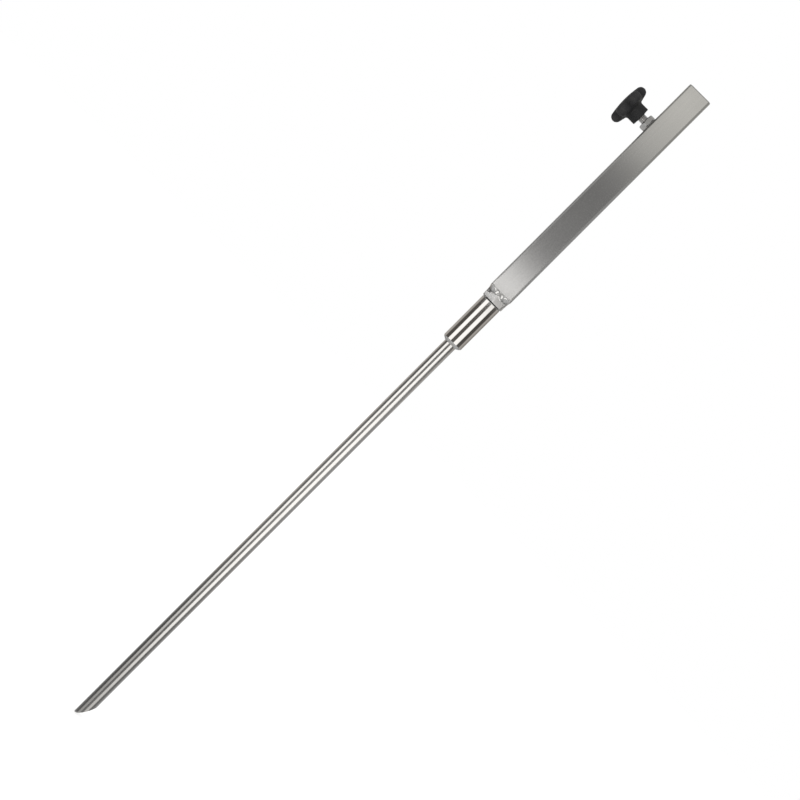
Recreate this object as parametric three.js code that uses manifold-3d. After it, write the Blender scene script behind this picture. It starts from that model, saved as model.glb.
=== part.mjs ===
// Bank stick: a square holder tube with a side clamp screw, on a round pointed ground spike.
// Lengths are millimetres and angles are degrees. Z runs up the stick from its point,
// the clamp screw stands out along minus X, and the origin is on the axis at the point.

import * as THREE from 'three';
import { mergeVertices, toCreasedNormals } from 'three/addons/utils/BufferGeometryUtils.js';
import Module from 'manifold-3d';

const wasm = await Module();
wasm.setup();

// Ground rod
const rodRadius = 6.35;
const rodLength = 500;
const rodInsert = 12;
const rodPointRise = 16.2;
const rodPointCurve = 1.55;
const rodTopChamfer = 0.8;

// Coupling sleeve
const sleeveRadius = 10.5;
const sleeveLength = 50;
const sleeveTopChamfer = 1.2;
const sleeveFootChamfer = 0.2;
const sleeveThreadRunout = 2.3;

// Coupling stud
const couplingThreadRadius = 7;
const couplingStudLength = 40;
const couplingStudProud = 1;
const couplingPitch = 2;

// Socket nut, welded to the foot of the tube a little out of square with it
const socketNutFlats = 22;
const socketNutHeight = 11;
const socketNutTurn = -4.4;

// Holder tube
const tubeWidth = 25;
const tubeWall = 1.5;
const tubeCornerRadius = 2.5;
const tubeLength = 250;
const tubeEdgeBreak = 0.3;

// Clamp screw
const clampDrop = 49.5;
const clampThreadRadius = 4;
const clampStudLength = 19;
const clampStudEmbed = 13;
const clampStudGap = 5.1;
const clampPitch = 1.25;

// Clamp nut, welded over the hole in the side of the tube
const clampNutFlats = 14;
const clampNutHeight = 5.6;
const clampNutTurn = -19;
const clampHoleSlack = 0.5;

// Clamp knob
const knobRadius = 19.85;
const knobHeight = 21.9;
const hubRadius = 9;
const hubHeight = 9.7;
const hubEdge = 0.6;
const hubFillet = 2.2;
const hubBossRadius = 5.6;
const hubBossHeight = 0.3;
const rimHeight = 9.8;
const rimFoot = 10.8;
const lobeCount = 6;
const lobeTurn = 24;
const hollowShare = 0.19;

// Weld beads
const rodWeldLeg = 3.8;
const rodWeldRise = 2.9;
const rodWeldRipples = 18;
const rodWeldRippleShare = 0.12;
const socketWeldFlatDrop = 7.3;
const socketWeldCornerDrop = 4.4;
const socketWeldThroat = 0.8;
const socketWeldBulge = 0.5;
const socketWeldRoot = 0.5;
const socketWeldRipples = 20;
const socketWeldRippleHeight = 0.25;
const nutWeldLeg = 1.7;
const nutWeldRise = 1.5;
const nutWeldLumps = 6;
const nutWeldLumpTurn = 3;
const nutWeldLumpShare = 0.4;
const nutWeldSideLoss = 0.75;

// Clearances between pieces
const threadClearance = 0.05;
const rodClearance = 0.05;
const weldClearance = 0.05;
const couplingGap = 0.3;
const weldRootGap = 0.7;
const cutOverrun = 1;

// Standard shapes of a hexagon nut and of a thread
const nutChamferSlope = 30;
const nutFaceShare = 1.045;
const threadDepthShare = 0.6134;
const threadMouthShare = 0.3;

// Facets round a full turn
const roundSteps = 48;
const weldSteps = 120;
const knobSteps = 84;
const cornerSteps = 4;
const crease = 35;

const radians = THREE.MathUtils.degToRad;
const fullTurn = 2 * Math.PI;

// Heights along the stick that the pieces share
const sleeveFoot = rodLength - rodInsert;
const sleeveTop = sleeveFoot + sleeveLength;
const socketNutFoot = sleeveTop + couplingGap;
const socketNutTop = socketNutFoot + socketNutHeight;
const couplingStudFoot = socketNutTop + couplingStudProud - couplingStudLength;
const tubeFoot = socketNutTop + weldRootGap;
const tubeTop = tubeFoot + tubeLength;
const clampHeight = tubeTop - clampDrop;

// Places along the clamp screw, out from the axis of the stick
const tubeFace = tubeWidth / 2;
const clampNutFace = tubeFace + clampNutHeight;
const hubFace = clampNutFace + clampStudGap;

const satinSteel = { color: 0xbab8b4, roughness: 0.36, metalness: 1 };
const polishedSteel = { color: 0xd2d0cc, roughness: 0.12, metalness: 1 };
const nutSteel = { color: 0xc2c0bb, roughness: 0.3, metalness: 1 };
const weldSteel = { color: 0x9a9894, roughness: 0.45, metalness: 1 };
const blackPlastic = { color: 0x1c1c1d, roughness: 0.5, metalness: 0 };

// A three.js geometry as a solid for joining and cutting.
function solidOf(geometry) {
  const bare = geometry.index ? geometry.toNonIndexed() : geometry.clone();
  bare.deleteAttribute('normal');
  bare.deleteAttribute('uv');
  const merged = mergeVertices(bare);
  return new wasm.Manifold(
    new wasm.Mesh({
      numProp: 3,
      vertProperties: new Float32Array(merged.attributes.position.array),
      triVerts: new Uint32Array(merged.index.array),
    }),
  );
}

// The other way: a solid back to a three.js geometry.
function geometryOf(solid) {
  const cut = solid.getMesh();
  const geometry = new THREE.BufferGeometry();
  geometry.setAttribute('position', new THREE.BufferAttribute(new Float32Array(cut.vertProperties), 3));
  geometry.setIndex(new THREE.BufferAttribute(new Uint32Array(cut.triVerts), 1));
  return geometry;
}

function piece(name, geometry, look) {
  const shaded = toCreasedNormals(geometry, radians(crease));
  const mesh = new THREE.Mesh(shaded, new THREE.MeshStandardMaterial(look));
  mesh.name = name;
  return mesh;
}

// A turned shape: a profile of [radius, height] pairs revolved about Z.
function turned(profile, steps) {
  const points = profile.map(([radius, height]) => new THREE.Vector2(radius, height));
  const geometry = new THREE.LatheGeometry(points, steps);
  return geometry.rotateX(Math.PI / 2);
}

// A turned shape with a bore: its profile closes on itself and never meets the axis.
function turnedRing(profile, steps) {
  return turned([...profile, profile[0]], steps);
}

// Rings of points joined into one closed skin. Each ring runs once round the axis.
// Rings close on each other end to end, unless poles gives the two points that cap them.
function skinOver(rings, poles) {
  const across = rings[0].length;
  const rows = rings.length;
  const places = rings.flat();
  const faces = [];
  const bands = poles ? rows - 1 : rows;
  for (let row = 0; row < bands; row += 1) {
    for (let step = 0; step < across; step += 1) {
      const next = (step + 1) % across;
      const above = ((row + 1) % rows) * across;
      const here = row * across;
      faces.push([here + step, here + next, above + next], [here + step, above + next, above + step]);
    }
  }
  if (poles) {
    const last = (rows - 1) * across;
    const first = places.push(poles[0]) - 1;
    const final = places.push(poles[1]) - 1;
    for (let step = 0; step < across; step += 1) {
      const next = (step + 1) % across;
      faces.push([first, next, step], [final, last + step, last + next]);
    }
  }
  const volume = faces.reduce((sum, [a, b, c]) => {
    const normal = new THREE.Vector3().crossVectors(places[b], places[c]);
    return sum + places[a].dot(normal);
  }, 0);
  const outward = volume > 0 ? faces : faces.map(([a, b, c]) => [a, c, b]);
  const geometry = new THREE.BufferGeometry();
  geometry.setFromPoints(places);
  geometry.setIndex(outward.flat());
  return geometry;
}

// The point at an angle round Z, a radius from it and a height.
function around(angle, radius, height) {
  return new THREE.Vector3(radius * Math.cos(angle), radius * Math.sin(angle), height);
}

// The angle from the nearest of several equal directions, within half their spacing.
function offNearest(angle, spacing, turn) {
  const past = (angle - turn) / spacing;
  return (past - Math.round(past)) * spacing;
}

// Distance from the axis to the side of a regular hexagon, across half its flats.
function hexagonReach(halfFlats, angle, turn) {
  return halfFlats / Math.cos(offNearest(angle, fullTurn / 6, turn));
}

// Distance from the axis to the side of a square with round corners.
function squareReach(halfWidth, corner, angle) {
  const off = Math.abs(offNearest(angle, fullTurn / 4, 0));
  const flat = halfWidth / Math.cos(off);
  const inset = halfWidth - corner;
  if (flat * Math.sin(off) <= inset) {
    return flat;
  }
  const centre = Math.hypot(inset, inset);
  const fromDiagonal = fullTurn / 8 - off;
  const side = centre * Math.sin(fromDiagonal);
  return centre * Math.cos(fromDiagonal) + Math.sqrt(corner * corner - side * side);
}

// A square outline with round corners, as a path or a shape.
function squareOutline(outline, halfWidth, corner) {
  const inset = halfWidth - corner;
  outline.absarc(inset, inset, corner, 0, Math.PI / 2);
  outline.absarc(-inset, inset, corner, Math.PI / 2, Math.PI);
  outline.absarc(-inset, -inset, corner, Math.PI, Math.PI * 1.5);
  outline.absarc(inset, -inset, corner, Math.PI * 1.5, fullTurn);
  outline.closePath();
  return outline;
}

// Square tube with its edges broken at both ends and a hole in one side for the clamp screw.
function holderTube() {
  const bore = tubeFace - tubeWall;
  const boreCorner = Math.max(tubeCornerRadius - tubeWall, tubeEdgeBreak * 2);
  const section = squareOutline(new THREE.Shape(), tubeFace, tubeCornerRadius);
  section.holes.push(squareOutline(new THREE.Path(), bore, boreCorner));
  const walls = new THREE.ExtrudeGeometry(section, {
    depth: tubeLength - 2 * tubeEdgeBreak,
    curveSegments: cornerSteps,
    bevelEnabled: true,
    bevelThickness: tubeEdgeBreak,
    bevelSize: tubeEdgeBreak,
    bevelOffset: -tubeEdgeBreak,
    bevelSegments: 1,
  });
  walls.translate(0, 0, tubeEdgeBreak);
  const drill = new THREE.CylinderGeometry(
    clampThreadRadius + clampHoleSlack,
    clampThreadRadius + clampHoleSlack,
    tubeWall + 2 * cutOverrun,
    roundSteps,
  );
  drill.rotateZ(Math.PI / 2);
  drill.translate(-tubeFace + tubeWall / 2, 0, tubeLength - clampDrop);
  return geometryOf(solidOf(walls).subtract(solidOf(drill)));
}

// Hexagon nut standing on Z = 0, chamfered at both ends, with a countersunk bore.
function hexagonNut(flats, height, threadRadius, pitch) {
  const corner = flats / 2 / Math.cos(fullTurn / 12);
  const blank = new THREE.CylinderGeometry(corner, corner, height, 6);
  blank.rotateX(Math.PI / 2);
  blank.translate(0, 0, height / 2);
  const face = (flats / 2) * nutFaceShare;
  const reach = corner + cutOverrun;
  const drop = (reach - face) * Math.tan(radians(nutChamferSlope));
  const rounding = turned(
    [
      [0, 0],
      [face, 0],
      [reach, drop],
      [reach, height - drop],
      [face, height],
      [0, height],
    ],
    2 * roundSteps,
  );
  const bore = threadRadius + threadClearance;
  const mouth = pitch * threadMouthShare;
  const drill = turned(
    [
      [0, -cutOverrun],
      [bore + mouth + cutOverrun, -cutOverrun],
      [bore, mouth],
      [bore, height - mouth],
      [bore + mouth + cutOverrun, height + cutOverrun],
      [0, height + cutOverrun],
    ],
    roundSteps,
  );
  return geometryOf(solidOf(blank).intersect(solidOf(rounding)).subtract(solidOf(drill)));
}

// Threaded stud standing on Z = 0, drawn at its outer thread radius and chamfered
// to the thread's root at both ends.
function threadedStud(radius, length, pitch) {
  const chamfer = pitch * threadDepthShare;
  return turned(
    [
      [0, 0],
      [radius - chamfer, 0],
      [radius, chamfer],
      [radius, length - chamfer],
      [radius - chamfer, length],
      [0, length],
    ],
    roundSteps,
  );
}

// Round bar with its foot ground off on the slant, so that the point is on the clamp side.
// The ground face rises slowly from the point and then faster: rise * share ** curve.
function groundRod() {
  const bar = turned(
    [
      [0, 0],
      [rodRadius / 3, 0],
      [(rodRadius * 2) / 3, 0],
      [rodRadius, 0],
      [rodRadius, rodLength - rodTopChamfer],
      [rodRadius - rodTopChamfer, rodLength],
      [0, rodLength],
    ],
    roundSteps,
  );
  const places = bar.attributes.position;
  for (let index = 0; index < places.count; index += 1) {
    const share = Math.max((1 + places.getX(index) / rodRadius) / 2, 0);
    if (places.getZ(index) < rodPointRise) {
      places.setZ(index, share ** rodPointCurve * rodPointRise);
    }
  }
  return bar;
}

// Round sleeve: a plain hole for the rod below and a threaded hole for the stud above.
function couplingSleeve() {
  const rodHole = rodRadius + rodClearance;
  const threadHole = couplingThreadRadius + threadClearance;
  const step = couplingStudFoot - sleeveThreadRunout - sleeveFoot;
  const mouth = couplingPitch * threadMouthShare;
  return turnedRing(
    [
      [rodHole, 0],
      [sleeveRadius - sleeveFootChamfer, 0],
      [sleeveRadius, sleeveFootChamfer],
      [sleeveRadius, sleeveLength - sleeveTopChamfer],
      [sleeveRadius - sleeveTopChamfer, sleeveLength],
      [threadHole + mouth, sleeveLength],
      [threadHole, sleeveLength - mouth],
      [threadHole, step],
      [rodHole, step - (threadHole - rodHole)],
    ],
    roundSteps,
  );
}

// Fillet weld between the rod and the foot of the sleeve, rounded in section,
// with a ripple for each run of the torch. Its top is Z = 0.
function rodWeld() {
  const inner = rodRadius + weldClearance;
  const step = sleeveRadius - sleeveFootChamfer - inner;
  const leg = Math.min(rodWeldLeg, step);
  const sectionShares = [
    [1, 0],
    [0.97, 0.14],
    [0.8, 0.36],
    [0.55, 0.6],
    [0.28, 0.83],
    [0.08, 1],
    [0, 1],
    [0, 0],
  ];
  const rings = sectionShares.map(([legShare, riseShare]) => {
    const ring = [];
    for (let index = 0; index < weldSteps; index += 1) {
      const angle = (index / weldSteps) * fullTurn;
      const ripple = 1 - rodWeldRippleShare * Math.sin((rodWeldRipples * angle) / 2) ** 4;
      const drop = rodWeldRise * riseShare * (riseShare > 0 ? ripple : 1);
      ring.push(around(angle, inner + leg * legShare * ripple, -drop));
    }
    return ring;
  });
  return skinOver(rings);
}

// Weld that closes the foot of the tube round the socket nut. Its top is Z = 0, at the foot
// of the tube. It is a hollow fillet along the flats and a short proud bead at the two nut
// corners that reach past the tube, and its root fills the gap between nut and tube.
function socketWeld() {
  const turn = radians(socketNutTurn);
  const halfFlats = socketNutFlats / 2;
  const bore = tubeFace - tubeWall;
  const boreCorner = Math.max(tubeCornerRadius - tubeWall, tubeEdgeBreak * 2);
  const filletSteps = 6;
  const rings = Array.from({ length: filletSteps + 4 }, () => []);
  for (let index = 0; index < weldSteps; index += 1) {
    const angle = (index / weldSteps) * fullTurn + turn;
    const nutSide = hexagonReach(halfFlats + weldClearance, angle, turn);
    const tubeSide = squareReach(tubeFace, tubeCornerRadius, angle);
    const outer = Math.max(tubeSide, nutSide + socketWeldThroat);
    const boreSide = squareReach(bore, boreCorner, angle);
    const root = Math.min(boreSide, hexagonReach(halfFlats, angle, turn)) - socketWeldRoot;
    const cornerShare = Math.abs(Math.sin(angle - turn)) ** 6;
    const ripple = socketWeldRippleHeight * Math.cos(socketWeldRipples * angle);
    const drop = socketWeldFlatDrop + (socketWeldCornerDrop - socketWeldFlatDrop) * cornerShare + ripple;
    for (let step = 0; step <= filletSteps; step += 1) {
      const share = step / filletSteps;
      const bulge = socketWeldBulge * cornerShare * Math.sin(Math.PI * share);
      const radius = nutSide + (outer - nutSide) * share ** 1.6 + bulge;
      rings[step].push(around(angle, radius, -drop * (1 - share)));
    }
    rings[filletSteps + 1].push(around(angle, root, 0));
    rings[filletSteps + 2].push(around(angle, root, weldClearance - weldRootGap));
    rings[filletSteps + 3].push(around(angle, nutSide, weldClearance - weldRootGap));
  }
  return skinOver(rings);
}

// Small fillet weld round the foot of the clamp nut, standing on Z = 0, heavier where
// the torch dwelt and thin where the nut meets the tube above and below.
function nutWeld() {
  const halfFlats = clampNutFlats / 2 + weldClearance;
  const turn = radians(clampNutTurn);
  const sectionShares = [
    [0, 0],
    [1, 0],
    [0.72, 0.34],
    [0.4, 0.7],
    [0.16, 1],
    [0, 1],
  ];
  const rings = sectionShares.map(([legShare, riseShare]) => {
    const ring = [];
    for (let index = 0; index < weldSteps / 2; index += 1) {
      const angle = (index / weldSteps) * 2 * fullTurn + turn;
      const lump = (1 + Math.cos(nutWeldLumps * (angle - radians(nutWeldLumpTurn)))) / 2;
      const spread = 1 - nutWeldSideLoss * Math.cos(angle) ** 4;
      const size = spread * (1 - nutWeldLumpShare * (1 - lump ** 2));
      const radius = hexagonReach(halfFlats, angle, turn) + nutWeldLeg * size * legShare;
      ring.push(around(angle, radius, nutWeldRise * size * riseShare));
    }
    return ring;
  });
  return skinOver(rings);
}

// Star knob standing on Z = 0: a hub with a blind hole for the stud, and a domed head whose
// rim is drawn in between the lobes.
function clampKnob() {
  const hole = clampThreadRadius + threadClearance;
  const holeTop = clampStudEmbed + threadClearance;
  const rimMiddle = rimFoot + rimHeight / 2;
  const rimRound = rimHeight / 2;
  const flank = knobRadius - rimRound;
  // Each station is a radius, a height and how far the hollows between the lobes reach in there.
  const stations = [
    [hole, holeTop, 0],
    [hole, -hubBossHeight, 0],
    [hubBossRadius - hubBossHeight, -hubBossHeight, 0],
    [hubBossRadius, 0, 0],
    [hubRadius - hubEdge, 0, 0],
    [hubRadius, hubEdge, 0],
    [hubRadius, hubHeight - hubFillet, 0],
    [hubRadius + hubFillet * 0.13, hubHeight - hubFillet * 0.5, 0],
    [hubRadius + hubFillet * 0.5, hubHeight - hubFillet * 0.13, 0],
    [hubRadius + hubFillet, hubHeight, 0.1],
  ];
  const rimSteps = 10;
  for (let step = 0; step <= rimSteps; step += 1) {
    const swing = radians(-78 + (156 * step) / rimSteps);
    const radius = flank + rimRound * Math.cos(swing);
    stations.push([radius, rimMiddle + rimRound * Math.sin(swing), 1]);
  }
  const [crown, crownHeight] = stations.at(-1);
  const domeRise = Math.max(knobHeight - crownHeight, hubEdge);
  const domeShares = [0.86, 0.68, 0.48, 0.26];
  for (const domeShare of domeShares) {
    const height = crownHeight + domeRise * (1 - domeShare * domeShare);
    stations.push([crown * domeShare, height, domeShare ** 3]);
  }
  const rings = stations.map(([radius, height, reach]) => {
    const ring = [];
    for (let index = 0; index < knobSteps; index += 1) {
      const angle = (index / knobSteps) * fullTurn;
      const hollow = ((1 + Math.cos(lobeCount * (angle - radians(lobeTurn)))) / 2) ** 1.4;
      ring.push(around(angle, radius * (1 - hollowShare * reach * hollow), height));
    }
    return ring;
  });
  const holeEnd = new THREE.Vector3(0, 0, holeTop);
  const crownMiddle = new THREE.Vector3(0, 0, crownHeight + domeRise);
  return skinOver(rings, [holeEnd, crownMiddle]);
}

// Ground spike: rod, sleeve and the weld between them
const spike = new THREE.Group();
spike.add(piece('ground_rod', groundRod(), polishedSteel));
const sleeve = piece('coupling_sleeve', couplingSleeve(), polishedSteel);
sleeve.position.z = sleeveFoot;
spike.add(sleeve);
const rodBead = piece('rod_weld', rodWeld(), weldSteel);
rodBead.position.z = sleeveFoot;
spike.add(rodBead);

// Coupling stud, fixed in the socket nut and screwed into the sleeve
const couplingStud = piece(
  'coupling_stud',
  threadedStud(couplingThreadRadius, couplingStudLength, couplingPitch),
  nutSteel,
);
couplingStud.position.z = couplingStudFoot;

// Holder: tube, socket nut, clamp nut and their welds
const holder = new THREE.Group();
const socketNut = piece(
  'socket_nut',
  hexagonNut(socketNutFlats, socketNutHeight, couplingThreadRadius, couplingPitch),
  nutSteel,
);
socketNut.position.z = socketNutFoot;
socketNut.rotation.z = radians(socketNutTurn);
holder.add(socketNut);
const socketBead = piece('socket_weld', socketWeld(), weldSteel);
socketBead.position.z = tubeFoot;
holder.add(socketBead);
const tube = piece('holder_tube', holderTube(), satinSteel);
tube.position.z = tubeFoot;
holder.add(tube);

// Clamp: everything on the screw's own axis, which points out of the side of the tube
const clamp = new THREE.Group();
clamp.position.z = clampHeight;
clamp.rotation.y = -Math.PI / 2;
const clampNut = piece(
  'clamp_nut',
  hexagonNut(clampNutFlats, clampNutHeight, clampThreadRadius, clampPitch),
  nutSteel,
);
clampNut.position.z = tubeFace + weldClearance;
clampNut.rotation.z = radians(clampNutTurn);
clamp.add(clampNut);
const nutBead = piece('nut_weld', nutWeld(), weldSteel);
nutBead.position.z = tubeFace + weldClearance;
clamp.add(nutBead);
const clampStud = piece(
  'clamp_stud',
  threadedStud(clampThreadRadius, clampStudLength + clampStudEmbed, clampPitch),
  nutSteel,
);
clampStud.position.z = hubFace - clampStudLength;
clamp.add(clampStud);
const knob = piece('clamp_knob', clampKnob(), blackPlastic);
knob.position.z = hubFace;
clamp.add(knob);

const bankStick = new THREE.Group();
bankStick.name = 'bank_stick';
bankStick.add(spike, couplingStud, holder, clamp);

export default bankStick;
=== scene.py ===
# Bank stick: a square holder tube with a side clamp screw, on a round pointed ground spike.
# Lengths are metres. Z runs up the stick from its point and the clamp screw points to minus X.
import math

import bmesh
import bpy
import numpy as np
from mathutils import Matrix, Vector


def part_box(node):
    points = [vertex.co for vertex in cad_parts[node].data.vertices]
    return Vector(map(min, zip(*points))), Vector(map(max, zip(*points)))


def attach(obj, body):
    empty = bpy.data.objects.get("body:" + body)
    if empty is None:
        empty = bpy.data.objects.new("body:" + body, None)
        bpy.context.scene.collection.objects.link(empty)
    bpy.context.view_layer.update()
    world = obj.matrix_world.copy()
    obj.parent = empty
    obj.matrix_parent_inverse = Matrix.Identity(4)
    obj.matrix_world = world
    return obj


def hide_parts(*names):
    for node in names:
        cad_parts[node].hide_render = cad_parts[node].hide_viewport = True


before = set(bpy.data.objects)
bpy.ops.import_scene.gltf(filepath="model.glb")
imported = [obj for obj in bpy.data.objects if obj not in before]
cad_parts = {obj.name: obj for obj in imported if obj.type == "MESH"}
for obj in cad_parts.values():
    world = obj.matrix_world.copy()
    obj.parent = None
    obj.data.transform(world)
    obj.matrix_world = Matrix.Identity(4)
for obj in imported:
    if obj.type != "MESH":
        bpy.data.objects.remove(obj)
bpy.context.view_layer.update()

mm = 0.001
fullTurn = 2 * math.pi

# Points nearer than mergeReach become one, edges shorter than leastEdge go, and faces that meet
# at more than creaseAngle degrees keep a sharp edge.
mergeReach = 2e-7
leastEdge = 1e-7
creaseAngle = 35
# A straight longer than this many corner sizes gets a row beside the curve, so many sizes off.
longStraight = 8
rowBeside = 3


def span(node):
    low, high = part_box(node)
    return np.array(low), np.array(high)


def stand(name, data):
    thing = bpy.data.objects.new(name, data)
    bpy.context.scene.collection.objects.link(thing)
    return thing


# Four-sided faces between the neighbours of a grid of point numbers.
def gridQuads(index):
    sides = (index[:-1, :-1], index[:-1, 1:], index[1:, 1:], index[1:, :-1])
    return np.stack(sides, -1).reshape(-1, 4)


# A closed mesh from a grid of points: rows run along the piece and columns run round it.
# The rows join end to end where closed is true, and otherwise each end is a pole on the axis.
def skinFromGrid(name, points, closed, sharpAngle=creaseAngle):
    rows, cols = points.shape[:2]
    index = np.arange(rows * cols).reshape(rows, cols)
    if closed:
        index = np.vstack([index, index[:1]])
    quads = gridQuads(np.hstack([index, index[:, :1]]))
    mesh = bpy.data.meshes.new(name)
    mesh.vertices.add(rows * cols)
    mesh.vertices.foreach_set("co", np.ascontiguousarray(points, np.float32).ravel())
    mesh.loops.add(quads.size)
    mesh.loops.foreach_set("vertex_index", quads.astype(np.int32).ravel())
    mesh.polygons.add(len(quads))
    mesh.polygons.foreach_set("loop_start", np.arange(0, quads.size, 4, dtype=np.int32))
    mesh.update(calc_edges=True)
    tidyMesh(mesh, sharpAngle)
    return stand(name, mesh)


# Merges what coincides, turns the faces outward and marks the sharp edges.
def tidyMesh(mesh, sharpAngle):
    work = bmesh.new()
    work.from_mesh(mesh)
    bmesh.ops.remove_doubles(work, verts=work.verts, dist=mergeReach)
    bmesh.ops.dissolve_degenerate(work, dist=leastEdge, edges=work.edges)
    bmesh.ops.recalc_face_normals(work, faces=work.faces)
    work.to_mesh(mesh)
    work.free()
    mesh.validate()
    mesh.shade_smooth()
    mesh.set_sharp_from_angle(angle=math.radians(sharpAngle))


# Carries a path of radius and height round the Z axis: x = r cos a, y = r sin a. The path may
# change with the angle, so it has one column for each angle, or a single one for a turned shape.
def revolve(path, angles):
    radius = np.broadcast_to(path[..., 0], (len(path), len(angles)))
    height = np.broadcast_to(path[..., 1], (len(path), len(angles)))
    return np.stack([radius * np.cos(angles), radius * np.sin(angles), height], -1)


# A path from rows of radius and height, each a number or one value for each angle.
def pathFrom(rows, angles):
    return np.stack([np.stack(np.broadcast_arrays(*row, angles)[:2], -1) for row in rows])


# Rounds the corners of a path: each corner becomes a quadratic curve that starts and ends at its
# own distance from the corner. Sizes of zero keep a corner as it is. A row on each long straight
# beside the curve keeps that straight's shading flat.
def softened(path, sizes, steps=4, closed=False):
    path = [np.asarray(p, float) for p in path]
    rows = []
    last = len(path) - 1
    for place, (point, size) in enumerate(zip(path, sizes)):
        if size == 0 or (not closed and place in (0, last)):
            rows.append(point)
            continue
        arms = [path[place - 1] - point, path[(place + 1) % len(path)] - point]
        lengths = [np.linalg.norm(arm, axis=-1, keepdims=True) for arm in arms]
        before, after = [arm / length * size for arm, length in zip(arms, lengths)]
        if lengths[0].min() > longStraight * size:
            rows.append(point + rowBeside * before)
        for t in np.linspace(0, 1, steps + 1):
            rows.append(point + (1 - t) ** 2 * before + t * t * after)
        if lengths[1].min() > longStraight * size:
            rows.append(point + rowBeside * after)
    shape = np.broadcast_shapes(*[row.shape for row in rows])
    return np.stack([np.broadcast_to(row, shape) for row in rows])


def vertexSpots(piece):
    spots = np.empty(3 * len(piece.data.vertices), np.float32)
    piece.data.vertices.foreach_get("co", spots)
    return spots.reshape(-1, 3)


# Stores one number for each vertex, which a material reads by its name.
def addShare(piece, name, shares):
    values = piece.data.attributes.new(name, "FLOAT", "POINT").data
    values.foreach_set("value", shares.astype(np.float32))


def roundAngles(count):
    return np.arange(count) * fullTurn / count


# Angles round a regular polygon: count of them within the spread on each side of a corner, and
# flatCount of them along each flat.
def cornerAngles(sides, turn, spread, count, flatCount):
    corners = turn + (np.arange(sides) + 0.5) * fullTurn / sides
    inside = np.linspace(-1, 1, count) * spread
    gap = fullTurn / sides - 2 * spread
    flats = spread + gap * (np.arange(flatCount) + 1) / (flatCount + 1)
    return (corners[:, None] + np.concatenate([inside, flats])).ravel()


# Distance from the axis to the side of a regular polygon with round corners: on a flat it is the
# apothem over cos(off), and on a corner it is where the ray leaves the corner's circle.
def polygonReach(sides, apothem, corner, angle, turn=0.0):
    spacing = fullTurn / sides
    off = np.abs((angle - turn + spacing / 2) % spacing - spacing / 2)
    flat = apothem / np.cos(off)
    inset = apothem - corner
    centre = inset / math.cos(spacing / 2)
    fromCorner = spacing / 2 - off
    reach = corner ** 2 - (centre * np.sin(fromCorner)) ** 2
    arc = centre * np.cos(fromCorner) + np.sqrt(np.maximum(reach, 0))
    return np.where(flat * np.sin(off) > inset * math.tan(spacing / 2), arc, flat)


def moved(points, place, along=None):
    points = points if along is None else points @ along.T
    return points + np.array(place)


# The clamp's own axes: its height runs to minus X, its X to plus Z, and Y stays.
clampAxes = np.array([[0, 0, -1], [0, 1, 0], [1, 0, 0]], float)


# Turns a piece to the clamp's axes, with its Z = 0 at a drop under its node's inner end.
def onClamp(points, low, high, drop=0):
    return moved(points, (high[0] - drop, 0, (low[2] + high[2]) / 2), clampAxes)


# Sum of a few sine waves round and along a surface, with seeded directions and phases.
def lumps(angle, height, seed, counts=(3, 11), waves=6, tall=400):
    source = np.random.default_rng(seed)
    total = np.zeros(np.broadcast_shapes(np.shape(angle), np.shape(height)))
    for _ in range(waves):
        turns = source.integers(counts[0], counts[1])
        slope = source.uniform(-tall, tall)
        total = total + np.sin(turns * angle + slope * height + source.uniform(0, fullTurn))
    return total / waves


# Links a value that is a socket to an input, and sets any other value on it.
def feed(tree, socket, value):
    if isinstance(value, bpy.types.NodeSocket):
        tree.links.new(value, socket)
    else:
        socket.default_value = value


def addNode(tree, kind, inputs=None, **settings):
    made = tree.nodes.new("ShaderNode" + kind)
    for name, value in settings.items():
        setattr(made, name, value)
    for key, value in (inputs or {}).items():
        feed(tree, made.inputs[key], value)
    return made


def newMaterial(name):
    material = bpy.data.materials.new(name)
    material.use_nodes = True
    material.node_tree.nodes.clear()
    return material, material.node_tree


def objectSpot(tree):
    return addNode(tree, "TexCoord").outputs["Object"]


def attribute(tree, name):
    return addNode(tree, "Attribute", attribute_name=name).outputs["Fac"]


# Noise on object coordinates, stretched by a scale for each axis, in cells for each metre.
def grain(tree, scale, detail, roughness=0.55):
    spot = addNode(tree, "Mapping", {"Vector": objectSpot(tree), "Scale": scale})
    inputs = {"Scale": 1.0, "Detail": detail, "Roughness": roughness}
    inputs["Vector"] = spot.outputs["Vector"]
    return addNode(tree, "TexNoise", inputs).outputs["Fac"]


# Carries a value from one range to another and holds it beyond both ends.
def between(tree, value, low, high, first=0.0, last=1.0, kind="LINEAR"):
    inputs = {"Value": value, "From Min": low, "From Max": high, "To Min": first, "To Max": last}
    return addNode(tree, "MapRange", inputs, interpolation_type=kind).outputs["Result"]


def blended(tree, share, first, last, mode="MIX"):
    mixed = addNode(tree, "Mix", data_type="RGBA", blend_type=mode)
    for name, value in (("Factor_Float", share), ("A_Color", first), ("B_Color", last)):
        feed(tree, next(s for s in mixed.inputs if s.identifier == name), value)
    return next(s for s in mixed.outputs if s.identifier == "Result_Color")


def tinted(tree, colour, tint):
    return blended(tree, 1.0, colour, tint, mode="MULTIPLY")


def maths(tree, operation, *values):
    return addNode(tree, "Math", dict(enumerate(values)), operation=operation).outputs[0]


def times(tree, first, last):
    return maths(tree, "MULTIPLY", first, last)


def plus(tree, first, last):
    return maths(tree, "ADD", first, last)


def bumped(tree, height, look):
    inputs = {"Height": height, "Strength": look["bump"], "Distance": look["depth"]}
    return addNode(tree, "Bump", inputs).outputs["Normal"]


def finish(tree, material, **inputs):
    named = {key.replace("_", " "): value for key, value in inputs.items()}
    shader = addNode(tree, "BsdfPrincipled", named)
    addNode(tree, "OutputMaterial", {"Surface": shader.outputs["BSDF"]})
    return material


# The part of each noise's values that a look is spread over.
streakSpread = (0.3, 0.7)
cloudSpread = (0.5, 0.75)
fineSpread = (0.25, 0.75)


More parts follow.
